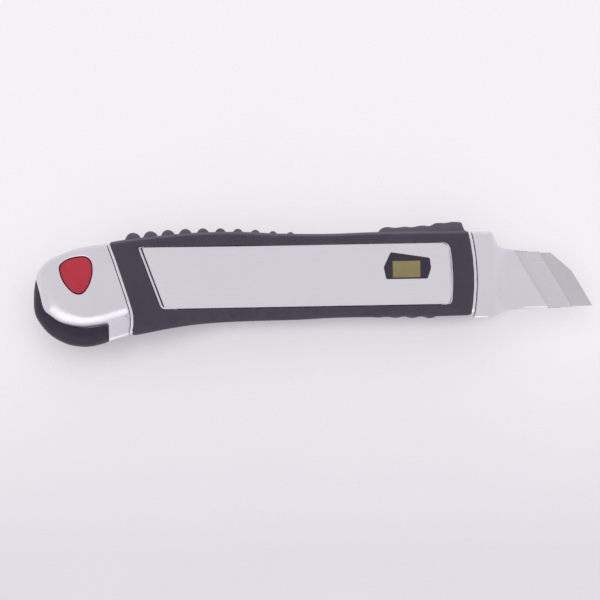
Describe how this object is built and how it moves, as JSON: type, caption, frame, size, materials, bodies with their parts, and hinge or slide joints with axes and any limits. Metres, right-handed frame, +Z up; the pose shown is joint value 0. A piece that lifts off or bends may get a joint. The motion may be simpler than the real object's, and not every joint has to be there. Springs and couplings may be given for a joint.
{
  "type": "snap-off knife",
  "caption": "Heavy-duty snap-off knife with a metal body, rubber grips, a thumb slider with a lock, and a magazine of spare blades in its tail.",
  "frame": {"origin": "on the surface that the knife lies on, under the middle of its footprint with one segment of blade standing out", "axes": "+X along the knife to the blade's point, +Y to the blade's spine, +Z up out of the side with the face panel"},
  "size_m": [0.187, 0.0396, 0.02],
  "materials": {
    "silver_body": "satin silver lacquer over die-cast zinc",
    "face_panel": "fine satin silver",
    "label": "printed, blank",
    "grip_rubber": "matt moulded elastomer",
    "blade_steel": "ground",
    "channel_steel": "rolled sheet",
    "spring_steel": "bright",
    "screw_steel": "zinc plated",
    "black_plastic": "fine spark texture",
    "grey_plastic": "moulded",
    "red_plastic": "semi-gloss"
  },
  "bodies": {
    "handle": {"upper_shell": "silver_body", "lower_shell": "silver_body", "upper_grip": "grip_rubber", "lower_grip": "grip_rubber", "face_panel": "face_panel", "panel_label": "label", "nose_block": "silver_body", "blade_channel": "channel_steel", "magazine_spring": "spring_steel", "case_screw_1": "screw_steel", "case_screw_2": "screw_steel", "case_screw_3": "screw_steel", "case_screw_4": "screw_steel"},
    "slider": {"blade": "blade_steel", "thumb_slider": "black_plastic", "slider_carrier": "grey_plastic", "blade_pin": "spring_steel", "lock_spring": "spring_steel"},
    "lock": {"lock_button": "black_plastic", "lock_pawl": "spring_steel"},
    "magazine": {"tail_cap_upper": "silver_body", "tail_cap_lower": "silver_body", "tail_bumper": "grip_rubber", "magazine_tray": "grey_plastic", "spare_blade_1": "blade_steel", "spare_blade_2": "blade_steel", "spare_blade_3": "blade_steel", "spare_blade_4": "blade_steel", "spare_blade_5": "blade_steel", "cap_screw_1": "screw_steel", "cap_screw_2": "screw_steel", "release_spring": "spring_steel"},
    "release": {"release_button": "red_plastic", "release_latch": "grey_plastic"}
  },
  "joints": [
    {"name": "blade_slide", "type": "slide", "parent": "handle", "child": "slider", "axis": [1, 0, 0], "range_m": [-0.022, 0.042]},
    {"name": "lock_press", "type": "slide", "parent": "slider", "child": "lock", "axis": [0, 0, 1], "range_m": [0, 0.001], "stiffness_N_per_m": 800, "springref_m": -0.001, "deforming": ["lock_spring"]},
    {"name": "magazine_slide", "type": "slide", "parent": "handle", "child": "magazine", "axis": [-1, 0, 0], "range_m": [0, 0.085]},
    {"name": "release_press", "type": "slide", "parent": "magazine", "child": "release", "axis": [0, 0, -1], "range_m": [0, 0.0015], "stiffness_N_per_m": 600, "springref_m": -0.002, "deforming": ["release_spring"]}
  ]
}
